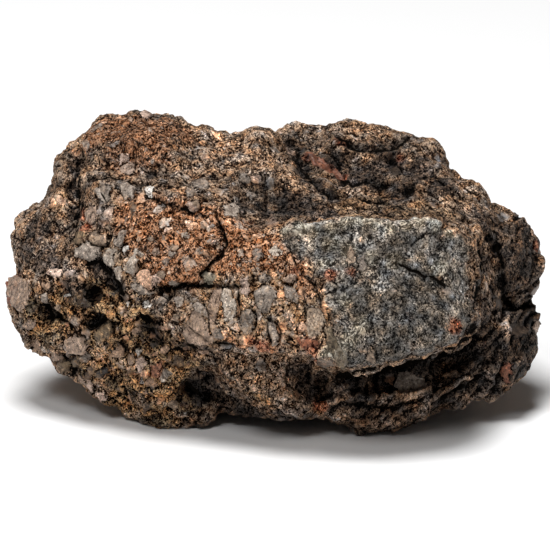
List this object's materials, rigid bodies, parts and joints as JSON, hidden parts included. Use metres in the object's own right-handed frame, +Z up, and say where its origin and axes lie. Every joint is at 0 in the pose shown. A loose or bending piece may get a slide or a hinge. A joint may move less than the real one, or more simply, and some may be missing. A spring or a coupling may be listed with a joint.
{
  "type": "agatized coprolite stone",
  "caption": "Loose rough stone of agatized coprolite, a knobbly loaf with a grey agate face over an undercut hollow.",
  "frame": {"origin": "middle of the stone's box, on the surface that it rests on", "axes": "+X along the length towards the single knob, +Z up, -Y towards the grey and orange faces"},
  "size_m": [0.1522, 0.0992, 0.0805],
  "materials": {
    "agatized_stone": "rough, with small glints"
  },
  "bodies": {
    "root": {"coprolite": "agatized_stone"}
  },
  "joints": []
}
